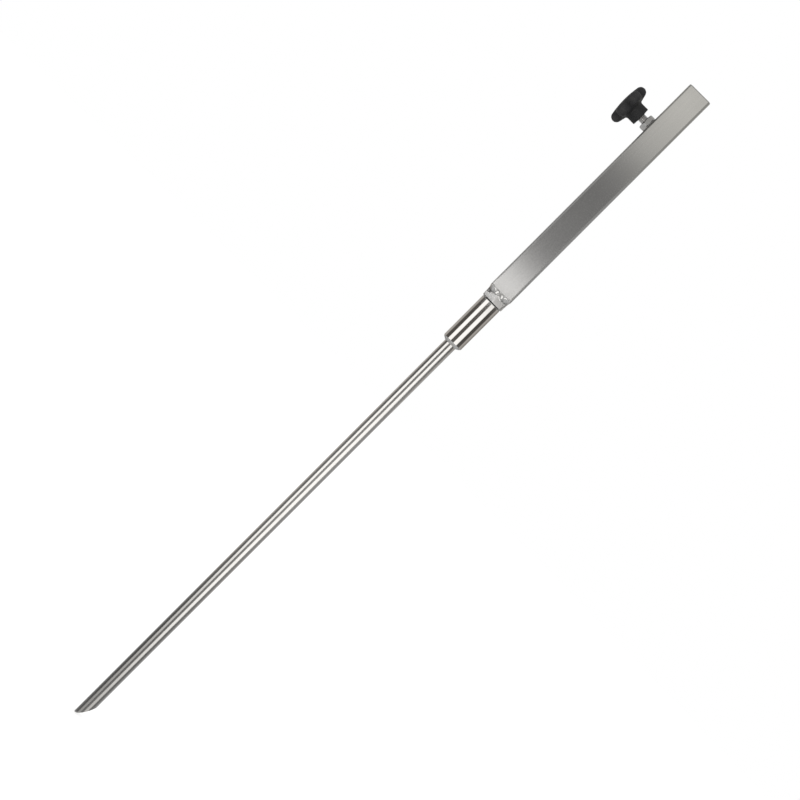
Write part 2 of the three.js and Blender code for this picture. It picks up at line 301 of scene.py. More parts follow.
# Steel with a grain along one axis: fine lines and wider streaks set the colour, roughness and
# bump, and a cloudy noise adds the handling marks. Where a look has painted shade, it names a share
# of the piece and the level that the colour falls to where that share is 1.
def steel(name, look):
    material, tree = newMaterial(name)
    fine = grain(tree, look["fineScale"], detail=4)
    streak = grain(tree, look["streakScale"], detail=3)
    cloud = grain(tree, (look["cloudScale"],) * 3, detail=5, roughness=0.6)
    tone = between(tree, streak, *streakSpread)
    colour = blended(tree, tone, look["colour"], look["streakColour"])
    smudge = between(tree, cloud, *cloudSpread, 0.0, look["smudge"])
    colour = blended(tree, smudge, colour, look["smudgeColour"])
    # Painted shade: the colour falls towards the least level where the named share is 1.
    if "paintedShade" in look:
        share, least = look["paintedShade"]
        colour = tinted(tree, colour, between(tree, attribute(tree, share), 0, 1, 1.0, least))
    rough = between(tree, fine, *fineSpread, *look["rough"])
    rough = plus(tree, rough, times(tree, smudge, look["smudgeRough"]))
    lines = plus(tree, fine, times(tree, streak, look["streakDepth"]))
    return finish(
        tree, material, Base_Color=colour, Metallic=1.0, Roughness=rough,
        Normal=bumped(tree, lines, look), Anisotropic=look.get("anisotropic", 0.0),
    )


satinLook = dict(
    colour=(0.725, 0.715, 0.7, 1), streakColour=(0.695, 0.685, 0.67, 1),
    smudgeColour=(0.64, 0.63, 0.61, 1), fineScale=(7000, 7000, 40), streakScale=(900, 900, 6),
    cloudScale=45, rough=(0.16, 0.21), smudge=0.35, smudgeRough=0.03, streakDepth=0.6, bump=0.1,
    depth=0.01 * mm, anisotropic=0.9,
)
polishedLook = dict(
    colour=(0.8, 0.79, 0.77, 1), streakColour=(0.74, 0.73, 0.71, 1),
    smudgeColour=(0.62, 0.6, 0.57, 1), fineScale=(5200, 5200, 60), streakScale=(1200, 1200, 14),
    cloudScale=60, rough=(0.05, 0.09), smudge=0.3, smudgeRough=0.05, streakDepth=0.8, bump=0.08,
    depth=0.008 * mm,
)
barLook = dict(polishedLook, rough=(0.13, 0.19), streakScale=(1400, 1400, 9), bump=0.1)
nutLook = dict(
    colour=(0.64, 0.635, 0.625, 1), streakColour=(0.57, 0.565, 0.555, 1),
    smudgeColour=(0.44, 0.43, 0.415, 1), fineScale=(2600, 2600, 2600), streakScale=(700, 700, 260),
    cloudScale=260, rough=(0.15, 0.23), smudge=0.4, smudgeRough=0.12, streakDepth=1.0, bump=0.25,
    depth=0.015 * mm,
)
socketNutLook = dict(
    nutLook, colour=(0.83, 0.825, 0.815, 1), streakColour=(0.76, 0.755, 0.745, 1),
    smudgeColour=(0.62, 0.61, 0.6, 1), rough=(0.1, 0.15), smudge=0.25, smudgeRough=0.04,
    bump=0.1,
)
weldLook = dict(
    colour=(0.8, 0.795, 0.785, 1), streakColour=(0.62, 0.615, 0.605, 1),
    smudgeColour=(0.42, 0.41, 0.4, 1), fineScale=(3400, 3400, 3400), streakScale=(620, 620, 620),
    cloudScale=420, rough=(0.12, 0.2), smudge=0.25, smudgeRough=0.1, streakDepth=1.6, bump=0.35,
    depth=0.03 * mm,
)
screwLook = dict(
    colour=(0.66, 0.65, 0.64, 1), streakColour=(0.56, 0.55, 0.54, 1),
    smudgeColour=(0.38, 0.37, 0.35, 1), fineScale=(4200, 4200, 4200), streakScale=(900, 900, 900),
    cloudScale=380, rough=(0.07, 0.12), smudge=0.4, smudgeRough=0.08, streakDepth=0.7, bump=0.08,
    depth=0.015 * mm,
)

plasticLook = dict(
    colour=(0.024, 0.024, 0.025, 1), wornColour=(0.034, 0.0335, 0.033, 1), wornSpread=(0.42, 0.72),
    paintedLightSpread=(0.05, 0.95), paintedLightLevels=(0.35, 1.4), pebbleScale=2600, cloudScale=110,
    roughSpread=(0.3, 0.7), rough=(0.56, 0.42), bump=0.35, depth=0.05 * mm, specular=0.22,
)


# Moulded plastic: a pebbled texture from cell noise, with cloudy wear in colour and roughness. The
# piece's share called crest paints light on what stands out and paints shade in its hollows.
def mouldedPlastic(name, look):
    material, tree = newMaterial(name)
    cells = {"Vector": objectSpot(tree), "Scale": look["pebbleScale"]}
    pebble = addNode(tree, "TexVoronoi", cells).outputs["Distance"]
    cloud = grain(tree, (look["cloudScale"],) * 3, detail=5)
    worn = between(tree, cloud, *look["wornSpread"])
    colour = blended(tree, worn, look["colour"], look["wornColour"])
    # Painted light on the lobes and painted shade in the hollows, read from the knob's crest share.
    crest = between(tree, attribute(tree, "crest"), *look["paintedLightSpread"], *look["paintedLightLevels"])
    return finish(
        tree, material, Base_Color=tinted(tree, colour, crest),
        Roughness=between(tree, cloud, *look["roughSpread"], *look["rough"]),
        Normal=bumped(tree, pebble, look), Specular_IOR_Level=look["specular"],
    )


satinSteel = steel("satinSteel", satinLook)
# Painted shade on the sleeve's top, where it meets the socket nut.
sleeveSteel = steel("sleeveSteel", dict(polishedLook, paintedShade=("paintedJointShade", 0.35)))
barSteel = steel("barSteel", barLook)
nutSteel = steel("nutSteel", nutLook)
# Painted shade on the socket nut's foot, at its joint with the sleeve.
socketNutSteel = steel("socketNutSteel", dict(socketNutLook, paintedShade=("paintedJointShade", 0.3)))
weldSteel = steel("weldSteel", weldLook)
# Painted shade on the socket weld: on its toe on one side and in its craters.
socketWeldSteel = steel("socketWeldSteel", dict(weldLook, paintedShade=("paintedWeldShade", 0.4)))
nutWeldSteel = steel("nutWeldSteel", dict(weldLook, rough=(0.34, 0.46)))
screwSteel = steel("screwSteel", screwLook)
blackPlastic = mouldedPlastic("blackPlastic", plasticLook)
print("materials made")


# Gives a piece its finish, its body and the node that it stands for.
def fit(piece, material, body, node):
    piece.data.materials.clear()
    piece.data.materials.append(material)
    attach(piece, body)
    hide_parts(node)


rodSize = dict(
    pointRise=16.2 * mm, pointCurve=1.55, topChamfer=0.8 * mm, edge=0.15 * mm, edgeShare=0.3,
    columns=192, capRings=24, sideRings=60, sideSpread=1.5,
)


# Height of the ground point at a share of the radius: rise ((1 + share cos a) / 2)^curve.
def pointHeight(share, angles):
    across = np.maximum((1 + share * np.cos(angles)) / 2, 0)
    return rodSize["pointRise"] * across ** rodSize["pointCurve"]


# Round bar on that point: rings close it to the axis, and its sides climb from the slanted rim to
# the top chamfer.
def groundRod():
    _, high = span("ground_rod")
    radius, top = high[0], high[2]
    angles = roundAngles(rodSize["columns"])
    slant = pointHeight(1, angles)
    edge, chamfer = rodSize["edge"], rodSize["topChamfer"]
    inset = rodSize["edgeShare"] * edge
    rings = []
    for share in np.linspace(0, 1 - edge / radius, rodSize["capRings"]):
        rings.append((radius * share, pointHeight(share, angles)))
    rings.append((radius - inset, slant + inset))
    for share in np.linspace(0, 1, rodSize["sideRings"]) ** rodSize["sideSpread"]:
        rings.append((radius, slant + edge + (top - chamfer - slant - edge) * share))
    rings += [(radius - chamfer, top), (0, top)]
    points = revolve(pathFrom(rings, angles), angles)
    return skinFromGrid("groundRod", points, closed=False)


fit(groundRod(), barSteel, "spike", "ground_rod")

sleeveSize = dict(
    topChamfer=0.45 * mm, footChamfer=0.2 * mm, bore=6.4 * mm, threadHole=7.05 * mm,
    mouth=0.6 * mm, threadDepth=30 * mm, edge=0.12 * mm, columns=192,
)


# Turned sleeve: its profile runs up the outside, over the chamfered top and down the two bores.
# Its top chamfer and top face get a share of painted shade where the sleeve meets the nut; it rises
# to 1 where the top chamfer starts.
def couplingSleeve():
    low, high = span("coupling_sleeve")
    size = sleeveSize
    radius, foot, top = high[0], low[2], high[2]
    bore, hole, mouth, edge = size["bore"], size["threadHole"], size["mouth"], size["edge"]
    footChamfer, topChamfer = size["footChamfer"], size["topChamfer"]
    step = top - size["threadDepth"]
    corners = [
        ((bore, foot), 0), ((radius - footChamfer, foot), edge),
        ((radius, foot + footChamfer), edge), ((radius, top - topChamfer), edge),
        ((radius - topChamfer, top), edge), ((hole + mouth, top), edge),
        ((hole, top - mouth), edge), ((hole, step), 0), ((bore, step - (hole - bore)), 0),
    ]
    path = softened([[spot] for spot, _ in corners], [bend for _, bend in corners], closed=True)
    points = revolve(path, roundAngles(size["columns"]))
    sleeve = skinFromGrid("couplingSleeve", points, closed=True)
    climbed = vertexSpots(sleeve)[:, 2] - (top - topChamfer)
    addShare(sleeve, "paintedJointShade", np.clip(climbed / edge, 0, 1))
    return sleeve


fit(couplingSleeve(), sleeveSteel, "spike", "coupling_sleeve")

rodWeldSize = dict(
    leg=3.8 * mm, rise=2.9 * mm, bore=6.4 * mm, ripples=18, ripple=0.1, rippleLean=2.2, lump=0.1,
    columns=720, seed=4,
)
rodWeldShares = [
    (0, 0), (1, 0), (0.99, 0.07), (0.96, 0.16), (0.9, 0.25), (0.8, 0.36), (0.69, 0.48),
    (0.55, 0.6), (0.42, 0.72), (0.28, 0.83), (0.15, 0.94), (0.08, 1), (0, 1),
]


# Fillet weld under the sleeve: its section of leg and rise shares is scaled all round by
# 1 - ripple sin^4 - lump (1 + lumps) / 2.
def rodWeld():
    _, high = span("rod_weld")
    size = rodWeldSize
    angles = roundAngles(size["columns"])
    rows = []
    for legShare, riseShare in rodWeldShares:
        lean = size["rippleLean"] * riseShare
        wave = 1 - size["ripple"] * np.sin(size["ripples"] * angles / 2 + lean) ** 4
        rough = lumps(angles, riseShare * size["rise"], size["seed"])
        wave = wave - size["lump"] * (0.5 + 0.5 * rough)
        radius = size["bore"] + size["leg"] * legShare * (wave if 0 < riseShare else 1)
        rows.append((radius, high[2] - size["rise"] * riseShare * wave))
    points = revolve(pathFrom(rows, angles), angles)
    return skinFromGrid("rodWeld", points, closed=True, sharpAngle=60)


fit(rodWeld(), weldSteel, "spike", "rod_weld")
print("ground spike made")


# Threaded rod on the Z axis. The grid follows the helix: height = row + pitch a / 2 pi, held
# between the two ends, and the radius falls to the root on a straight flank and at the chamfers.
def threadedRod(radius, length, pitch, depth, crest, root, columns, rowsPerPitch):
    turns = int(math.ceil(length / pitch)) + 1
    index = np.arange(-rowsPerPitch, turns * rowsPerPitch + 1)[:, None]
    angles = np.arange(columns + 1) * fullTurn / columns
    free = index * pitch / rowsPerPitch + pitch * angles[None, :] / fullTurn
    height = np.clip(free, 0, length)
    phase = np.abs((index / rowsPerPitch) % 1.0 - 0.5) * 2
    flank = np.clip((phase - crest) / (1 - crest - root), 0, 1)
    inward = np.minimum(height, length - height)
    reach = np.minimum(radius - depth * flank, radius - depth + inward)
    thread = revolve(pathFrom(zip(reach, height), angles), angles)
    rims = revolve(pathFrom([(radius - depth, 0), (radius - depth, length)], angles), angles)
    quads = gridQuads(np.arange(reach.size).reshape(reach.shape))
    centres = [[0, 0, 0], [0, 0, length]]
    first = reach.size + len(centres)
    low = first + np.arange(columns)
    high = low + columns + 1
    lowCap = np.column_stack([np.full(columns, first - 2), low + 1, low])
    highCap = np.column_stack([np.full(columns, first - 1), high, high + 1])
    points = np.concatenate([thread.reshape(-1, 3), centres, rims.reshape(-1, 3)])
    return points, quads, np.concatenate([lowCap, highCap])


# Makes the threaded rod's mesh from its quads and its end caps' triangles.
def screwObject(name, parts, place):
    points, quads, tris = parts
    mesh = bpy.data.meshes.new(name)
    mesh.from_pydata(place(points).tolist(), [], quads.tolist() + tris.tolist())
    tidyMesh(mesh, sharpAngle=40)
    return stand(name, mesh)


couplingThread = dict(
    pitch=2 * mm, depth=1.2 * mm, crest=0.16, root=0.22, columns=96, rowsPerPitch=14,
)
clampThread = dict(
    pitch=1.25 * mm, depth=0.5 * mm, crest=0.26, root=0.16, columns=72, rowsPerPitch=14,
)


# Stud in the sleeve and the socket nut: the threaded rod upright.
def couplingStud():
    low, high = span("coupling_stud")
    parts = threadedRod(high[0], high[2] - low[2], **couplingThread)
    return screwObject("couplingStud", parts, lambda p: moved(p, (0, 0, low[2])))


# Stud of the knob: the threaded rod along the clamp's axis.
def clampStud():
    low, high = span("clamp_stud")
    parts = threadedRod(high[1], high[0] - low[0], **clampThread)
    return screwObject("clampStud", parts, lambda p: onClamp(p, low, high))


fit(couplingStud(), screwSteel, "coupling_screw", "coupling_stud")
fit(clampStud(), screwSteel, "clamp_screw", "clamp_stud")

chamferSlope = math.tan(math.radians(30))
nutColumns = dict(spread=math.radians(1.6), count=9, flatCount=9)


# Hexagon nut standing on Z = 0. Each column climbs the flat between two chamfer cones: the cone
# meets it at bevel + (reach - face) tan 30, which gives the nut its curved chamfer edge.
def hexagonNut(name, flats, height, bore, mouth, turn, corner, edge, face, bevel, place):
    angles = cornerAngles(6, turn, **nutColumns)
    reach = polygonReach(6, flats / 2, corner, angles, turn)
    cone = np.maximum(reach - face, 0) * chamferSlope + bevel
    face = np.minimum(reach - bevel, face)
    corners = [
        (bore, mouth, 0), (bore + mouth, 0, edge), (face, 0, edge), (reach, cone, edge),
        (reach, height - cone, edge), (face, height, edge), (bore + mouth, height, edge),
        (bore, height - mouth, 0),
    ]
    spots = pathFrom([corner[:2] for corner in corners], angles)
    path = softened(spots, [corner[2] for corner in corners], steps=3, closed=True)
    return skinFromGrid(name, place(revolve(path, angles)), closed=True)


socketNutSize = dict(
    flats=22 * mm, bore=7.05 * mm, mouth=0.6 * mm, turn=math.radians(-4.4), corner=0.75 * mm,
    edge=0.06 * mm, face=11.5 * mm, bevel=0.42 * mm,
)
clampNutSize = dict(
    flats=14 * mm, bore=4.05 * mm, mouth=0.38 * mm, turn=math.radians(-19), corner=0.35 * mm,
    edge=0.06 * mm, face=6.6 * mm, bevel=0.15 * mm,
)
# Painted shade at the foot of the socket nut: (reach - height / bevel)^curve, held between 0 and 1.
nutFootShade = dict(reach=1.3, curve=0.5)


# Nut under the tube, upright, with painted shade at its joint with the sleeve.
def socketNut():
    low, high = span("socket_nut")
    place = lambda p: moved(p, (0, 0, low[2]))
    nut = hexagonNut("socketNut", height=high[2] - low[2], place=place, **socketNutSize)
    climbed = (vertexSpots(nut)[:, 2] - low[2]) / socketNutSize["bevel"]
    addShare(nut, "paintedJointShade", np.clip(nutFootShade["reach"] - climbed, 0, 1) ** nutFootShade["curve"])
    return nut


# Nut on the side of the tube, along the clamp's axis.
def clampNut():
    low, high = span("clamp_nut")
    place = lambda p: onClamp(p, low, high)
    return hexagonNut("clampNut", height=high[0] - low[0], place=place, **clampNutSize)


fit(socketNut(), socketNutSteel, "holder", "socket_nut")
fit(clampNut(), nutSteel, "holder", "clamp_nut")
print("screws and nuts made")

# The rows of the walls keep footRoom edges from the foot and topRoom top edges from the top.
tubeSize = dict(
    width=25 * mm, wall=1.5 * mm, corner=2.5 * mm, innerCorner=1 * mm, edge=0.3 * mm,
    topEdge=0.9 * mm, rows=26, footRoom=2, topRoom=1.5, clampDrop=49.5 * mm, hole=4.5 * mm,
    holeSides=64,
)
tubeColumns = dict(spread=math.radians(6.9), count=33, flatCount=3)


# Square tube: one closed path over the outer wall, the end, the inner wall and the foot, where
# each point is an inset from the outside and a height, and the reach is that of an inset square.
def holderTube():
    low, high = span("holder_tube")
    size = tubeSize
    foot, top, half = low[2], high[2], size["width"] / 2
    angles = cornerAngles(4, 0.0, **tubeColumns)
    edge, topEdge, wall = size["edge"], size["topEdge"], size["wall"]
    lowest, highest = foot + size["footRoom"] * edge, top - size["topRoom"] * topEdge
    levels = np.linspace(lowest, highest, size["rows"])
    flat = [(0, z) for z in levels]
    back = [(wall, z) for z in levels[::-1]]
    corners = [(0, foot), *flat, (0, top), (wall, top), *back, (wall, foot)]
    sizes = [edge, *[0] * len(flat), topEdge, edge, *[0] * len(back), edge]
    rows = []
    for inset, level in softened(corners, sizes, closed=True):
        corner = max(size["corner"] - inset, size["innerCorner"])
        rows.append((polygonReach(4, half - inset, corner, angles), level))
    tube = skinFromGrid("holderTube", revolve(pathFrom(rows, angles), angles), closed=True)
    drillHole(tube, top - size["clampDrop"], half)
    return tube


# Drills the round hole for the clamp screw through the minus X wall.
def drillHole(tube, height, half):
    hole, reach = tubeSize["hole"], 2 * tubeSize["wall"]
    path = np.array([(0, -reach), (hole, -reach), (hole, reach), (0, reach)])[:, None]
    points = moved(revolve(path, roundAngles(tubeSize["holeSides"])), (-half, 0, height), clampAxes)
    drill = skinFromGrid("drill", points, closed=False)
    cut = tube.modifiers.new("hole", "BOOLEAN")
    cut.operation = "DIFFERENCE"
    cut.object = drill
    cut.solver = "EXACT"
    drilled = tube.evaluated_get(bpy.context.evaluated_depsgraph_get())
    result = bpy.data.meshes.new_from_object(drilled)
    tube.modifiers.clear()
    tube.data = result
    result.name = "holderTube"
    tidyMesh(result, creaseAngle)
    bpy.data.objects.remove(drill)


fit(holderTube(), satinSteel, "holder", "holder_tube")

socketWeldSize = dict(
    flatDrop=7.3 * mm, cornerDrop=4.4 * mm, cornerPower=6, dropLump=0.2 * mm, dropCounts=(5, 30),
    root=0.5 * mm, rootGap=0.7 * mm, clearance=0.05 * mm, ridgeStart=2.65 * mm, ridgeLow=-2.0 * mm,
    ridgeTop=0.7 * mm, ridgeSlope=0.45, sideRidge=0.3 * mm, sidePower=4, swell=0.04 * mm,
    skin=0.02 * mm, climb=0.5 * mm, throat=1.35, sideThroat=2.2, lipCurve=3, sink=0.3 * mm,
    ripples=74, ripple=0.035 * mm, rippleLean=2.5, lump=0.1 * mm, lumpCounts=(6, 30),
    lumpTall=900, toeBead=0.05 * mm, toePlace=0.08, toeWidth=0.06, crater=0.9 * mm,
    craterHalf=0.95 * mm, craterDrop=1.6 * mm, craterRise=1.4 * mm, frontPower=8, columns=1080,
    rows=32, upperRows=14, seed=7,
)
# Flat places on the weld: distance from the middle of the side, height from the tube's foot, turn,
# half length, half width, distance from the axis, and slope away from the middle.
weldFacets = [
    (2.9 * mm, -2.0 * mm, math.radians(118), 1.95 * mm, 1.15 * mm, 12.85 * mm, 0.32),
    (6.4 * mm, -0.65 * mm, math.radians(24), 2.3 * mm, 0.62 * mm, 12.35 * mm, 0.3),
]
# The power sharpens the edges of both, which keep to the front and the back of the weld.
facetSize = dict(overhang=0.06, power=20, frontLeast=0.05, facingLeast=0.5)
# Painted shade on the weld: its toe on the plus X side, and the craters in front and behind.
weldShadeSize = dict(
    toe=0.75, toeReach=0.33, toeFrom=4 * mm, crater=0.9, craterHalf=1.5 * mm, craterDrop=2.0 * mm,
    craterRise=1.3 * mm, craterFrom=8 * mm,
)


# How far the weld reaches down the nut: least at the nut's corners at the front and back.
def weldDrop(angles):
    size = socketWeldSize
    facing = np.abs(np.sin(angles - socketNutSize["turn"])) ** size["cornerPower"]
    drop = size["flatDrop"] + (size["cornerDrop"] - size["flatDrop"]) * facing
    return drop + size["dropLump"] * lumps(angles, 0, size["seed"] + 1, counts=size["dropCounts"])


# Radius, height and share of the weld's rows: a hollow curve climbs from its toe on the nut's flat
# to a ridge flush with the tube, height = low + slope (aside - start), and a short lip runs from
# the ridge onto the tube.
def weldRows(angles, nutSide, tubeSide, aside):
    size = socketWeldSize
    drop = weldDrop(angles)
    side = np.abs(np.cos(angles)) ** size["sidePower"]
    ridge = size["ridgeLow"] + size["ridgeSlope"] * np.maximum(aside - size["ridgeStart"], 0)
    ridge = np.minimum(ridge, size["ridgeTop"])
    ridge = ridge + (size["sideRidge"] - ridge) * side
    lip = np.maximum(ridge, 0) + size["climb"]
    crest = np.maximum(tubeSide, nutSide + size["skin"]) + size["swell"]
    edge = tubeSide + size["skin"]
    rows = []
    for share in np.linspace(0, 1, size["rows"]):
        out = share ** (size["throat"] + size["sideThroat"] * side)
        rows.append((nutSide + (crest - nutSide) * out, -drop + (drop + ridge) * share, share))
    for share in np.linspace(0, 1, size["upperRows"])[1:]:
        radius = crest + (edge - crest) * share ** size["lipCurve"]
        rows.append((radius, ridge + (lip - ridge) * share, 1 + share))
    return rows


# Presses the flat places into one row: inside each, the distance from the axis becomes that of the
# plane face - slope (aside - place) + overhang (height - level).
def flattened(reach, height, angles, aside):
    size = facetSize
    facing = np.abs(np.sin(angles))
    front = facing ** socketWeldSize["frontPower"] > size["frontLeast"]
    for place, level, lean, long, wide, face, slope in weldFacets:
        off, rise = aside - place, height - level
        along = off * math.cos(lean) + rise * math.sin(lean)
        across = rise * math.cos(lean) - off * math.sin(lean)
        inside = -(along / long) ** size["power"] - (across / wide) ** size["power"]
        plane = face - slope * off + size["overhang"] * rise
        flat = plane / np.maximum(facing, size["facingLeast"])
        reach = reach + np.exp(inside) * front * (flat - reach)
    return reach


# Weld between nut and tube: those rows with ripples, lumps and a bead along the toe, a crater on
# the nut's corner at the front and back, and two flat places on each side of it.
def socketWeld():
    low, _ = span("holder_tube")
    size = socketWeldSize
    foot, half = low[2], tubeSize["width"] / 2
    nutHalf = socketNutSize["flats"] / 2 + size["clearance"]
    angles = roundAngles(size["columns"])
    nutSide = polygonReach(6, nutHalf, socketNutSize["corner"], angles, socketNutSize["turn"])
    tubeSide = polygonReach(4, half, tubeSize["corner"], angles)
    boreSide = polygonReach(4, half - tubeSize["wall"], tubeSize["innerCorner"], angles)
    root = np.minimum(boreSide, nutSide - size["clearance"]) - size["root"]
    aside = np.minimum(np.abs(np.cos(angles)), np.abs(np.sin(angles))) * tubeSide
    front = np.abs(np.sin(angles)) ** size["frontPower"]
    least = np.minimum(nutSide, tubeSide) - size["sink"]
    counts, tall = size["lumpCounts"], size["lumpTall"]
    rows = []
    for radius, height, share in weldRows(angles, nutSide, tubeSide, aside):
        fade = math.sin(math.pi * share / 2) ** 0.5
        lean = size["rippleLean"] * (share - 1) ** 2 * np.sign(np.sin(2 * angles))
        bump = size["ripple"] * np.cos(size["ripples"] * angles + lean)
        bump = bump + size["lump"] * lumps(angles, height, size["seed"], counts=counts, tall=tall)
        toe = (share - size["toePlace"]) / size["toeWidth"]
        bump = bump + size["toeBead"] * math.exp(-toe ** 2)
        level = (height + size["craterDrop"]) / size["craterRise"]
        crater = np.exp(-(aside / size["craterHalf"]) ** 2 - level ** 2)
        reach = radius + (bump - front * size["crater"] * crater) * fade
        reach = flattened(reach, height, angles, aside)
        rows.append((np.maximum(reach, least), foot + height))
    floor = foot + size["clearance"] - size["rootGap"]
    rows += [(root, foot), (root, floor), (nutSide, floor)]
    points = revolve(pathFrom(rows, angles), angles)
    points[..., 0] = np.clip(points[..., 0], -half - size["swell"], half)
    weld = skinFromGrid("socketWeld", points, closed=True, sharpAngle=70)
    paintWeldShade(weld, foot)
    return weld


# The weld's share of painted shade: toe exp(-(climbed / reach)^4) and crater exp(-(x / half)^4 -
# (level / rise)^4).
def paintWeldShade(weld, foot):
    size = weldShadeSize
    x, y, z = vertexSpots(weld).T
    climbed = (z - foot) / weldDrop(np.arctan2(y, x)) + 1
    toe = size["toe"] * np.exp(-(climbed / size["toeReach"]) ** 4) * (x > size["toeFrom"])
    level = (z - foot + size["craterDrop"]) / size["craterRise"]
    crater = size["crater"] * np.exp(-(x / size["craterHalf"]) ** 4 - level ** 4)
    addShare(weld, "paintedWeldShade", toe + crater * (np.abs(y) > size["craterFrom"]))


fit(socketWeld(), socketWeldSteel, "holder", "socket_weld")

nutWeldSize = dict(
    leg=1.7 * mm, rise=1.5 * mm, lumps=6, lumpTurn=math.radians(3), lump=0.4, sideLoss=0.75,
    clearance=0.05 * mm, columns=480,
)
nutWeldShares = [
    (0, 0), (1, 0), (0.93, 0.12), (0.84, 0.22), (0.72, 0.36), (0.58, 0.52), (0.42, 0.7),
    (0.28, 0.86), (0.14, 1), (0, 1),
]


# Small fillet weld round the clamp nut: weight = 1 - lump (1 - wave^2), times 1 - loss cos^4 a, so
# that it is thin where the nut meets the tube above and below.
def nutWeld():
    low, high = span("nut_weld")
    size = nutWeldSize
    nutHalf = clampNutSize["flats"] / 2 + size["clearance"]
    angles = roundAngles(size["columns"])
    inner = polygonReach(6, nutHalf, clampNutSize["corner"], angles, clampNutSize["turn"])
    wave = (1 + np.cos(size["lumps"] * (angles - size["lumpTurn"]))) / 2
    weight = (1 - size["lump"] * (1 - wave ** 2)) * (1 - size["sideLoss"] * np.cos(angles) ** 4)
    rows = []
    for legShare, riseShare in nutWeldShares:
        radius = inner + size["leg"] * weight * legShare
        rows.append((radius, size["rise"] * weight * riseShare))
    points = onClamp(revolve(pathFrom(rows, angles), angles), low, high)
    return skinFromGrid("nutWeld", points, closed=True, sharpAngle=60)


fit(nutWeld(), nutWeldSteel, "holder", "nut_weld")
print("holder made")

knobSize = dict(
    radius=19.83 * mm, height=21.9 * mm, hubRadius=9 * mm, hubHeight=9.7 * mm, hubEdge=0.6 * mm,
    hubFillet=2.2 * mm, filletReach=0.1, bossRadius=5.6 * mm, bossHeight=0.3 * mm,
    bossEdge=0.15 * mm, rimHeight=9.8 * mm, rimFoot=10.8 * mm, rimSweep=156, lobes=6,
    lobeTurn=math.radians(24), hollow=0.19, hollowPower=1.4, hole=4.05 * mm, holeDepth=13.05 * mm,
    holeEdge=0.1 * mm, columns=360, edgeSteps=6, filletRings=12, rimRings=40, domeRings=26,
)
# Light on the knob: base + rim far - hollow wave^power, the last from farStart of the way out.
knobShade = dict(base=0.5, rim=0.25, hollow=0.45, power=6, farStart=0.35, farSpan=0.3)


def lobeWave(angles):
    return (1 + np.cos(knobSize["lobes"] * (angles - knobSize["lobeTurn"]))) / 2


# Radius, height and hollow reach of the knob's rows, up the hub, round the rim and over the dome.
def knobRows():
    size = knobSize
    rimRound = size["rimHeight"] / 2
    middle, flank = size["rimFoot"] + rimRound, size["radius"] - rimRound
    hub, hubHeight, fillet = size["hubRadius"], size["hubHeight"], size["hubFillet"]
    boss, rise, hole = size["bossRadius"], size["bossHeight"], size["hole"]
    corners = [
        (0, size["holeDepth"], 0), (hole, size["holeDepth"], 0), (hole, -rise, size["holeEdge"]),
        (boss - rise, -rise, size["bossEdge"]), (boss, 0, size["bossEdge"]),
        (hub, 0, size["hubEdge"]), (hub, hubHeight, 0),
    ]
    spots, sizes = [corner[:2] for corner in corners], [corner[2] for corner in corners]
    inner = softened(spots, sizes, steps=size["edgeSteps"])
    rows = [(r, z, 0.0) for r, z in inner[:-1]]
    for t in np.linspace(0, 1, size["filletRings"]):
        swing = t * math.pi / 2
        out, up = fillet * (1 - math.cos(swing)), fillet * (1 - math.sin(swing))
        rows.append((hub + out, hubHeight - up, size["filletReach"] * t ** 2))
    for t in np.linspace(0, 1, size["rimRings"]):
        swing = math.radians(size["rimSweep"] * t - size["rimSweep"] / 2)
        rows.append((flank + rimRound * math.cos(swing), middle + rimRound * math.sin(swing), 1.0))
    crown, crownHeight, _ = rows[-1]
    domeRise = size["height"] - crownHeight
    for t in np.linspace(0, 1, size["domeRings"])[1:]:
        share = 1 - t
        rows.append((crown * share, crownHeight + domeRise * (1 - share ** 2), share ** 3))
    return rows


# Star knob standing on Z = 0: those rows, drawn in between the lobes by
# radius (1 - hollow reach ((1 + cos 6a) / 2)^1.4).
def clampKnob():
    low, high = span("clamp_knob")
    size = knobSize
    angles = roundAngles(size["columns"])
    radius, height, reach = np.array(knobRows()).T
    hollow = lobeWave(angles) ** size["hollowPower"]
    drawn = radius[:, None] * (1 - size["hollow"] * reach[:, None] * hollow[None, :])
    points = revolve(pathFrom(zip(drawn, height), angles), angles)
    points = onClamp(points, low, high, size["bossHeight"])
    knob = skinFromGrid("clampKnob", points, closed=False, sharpAngle=45)
    shadeKnob(knob, (low[2] + high[2]) / 2)
    return knob


# Stores the light on the knob as its share called crest.
def shadeKnob(knob, centre):
    hub, rim, shade = knobSize["hubRadius"], knobSize["radius"], knobShade
    _, across, height = vertexSpots(knob).T
    outward = np.hypot(across, height - centre)
    hollow = lobeWave(np.arctan2(across, height - centre)) ** shade["power"]
    far = np.clip((outward - hub) / (rim - hub), 0, 1)
    deep = np.clip((far - shade["farStart"]) / shade["farSpan"], 0, 1)
    crest = shade["base"] + shade["rim"] * far - shade["hollow"] * hollow * deep
    addShare(knob, "crest", np.clip(crest, 0, 1))


fit(clampKnob(), blackPlastic, "knob", "clamp_knob")
print("clamp knob made")

# Place in metres, turns in degrees, focal length and image width in pixels, sensor in millimetres.
cameraSpot = dict(
    place=(0.01241, -1.4, 0.49736), pitch=-2.0639, yaw=2.5769, roll=44.968, focal=1539.74,
    image=800, sensor=36, farthest=50,
)


# The camera stands upright in front of the stick, then pitches, yaws and rolls about its own axes.
def makeCamera():
    spot = cameraSpot
    data = bpy.data.cameras.new("camera")
    data.sensor_width = spot["sensor"]
    data.lens = spot["focal"] * spot["sensor"] / spot["image"]
    data.clip_end = spot["farthest"]
    camera = stand("camera", data)
    turn = Matrix.Rotation(math.pi / 2, 3, "X")
    for name, axis in (("roll", "Z"), ("yaw", "Y"), ("pitch", "X")):
        turn = turn @ Matrix.Rotation(math.radians(spot[name]), 3, axis)
    camera.matrix_world = Matrix.Translation(spot["place"]) @ turn.to_4x4()
    bpy.context.scene.camera = camera


ambient = 0.72


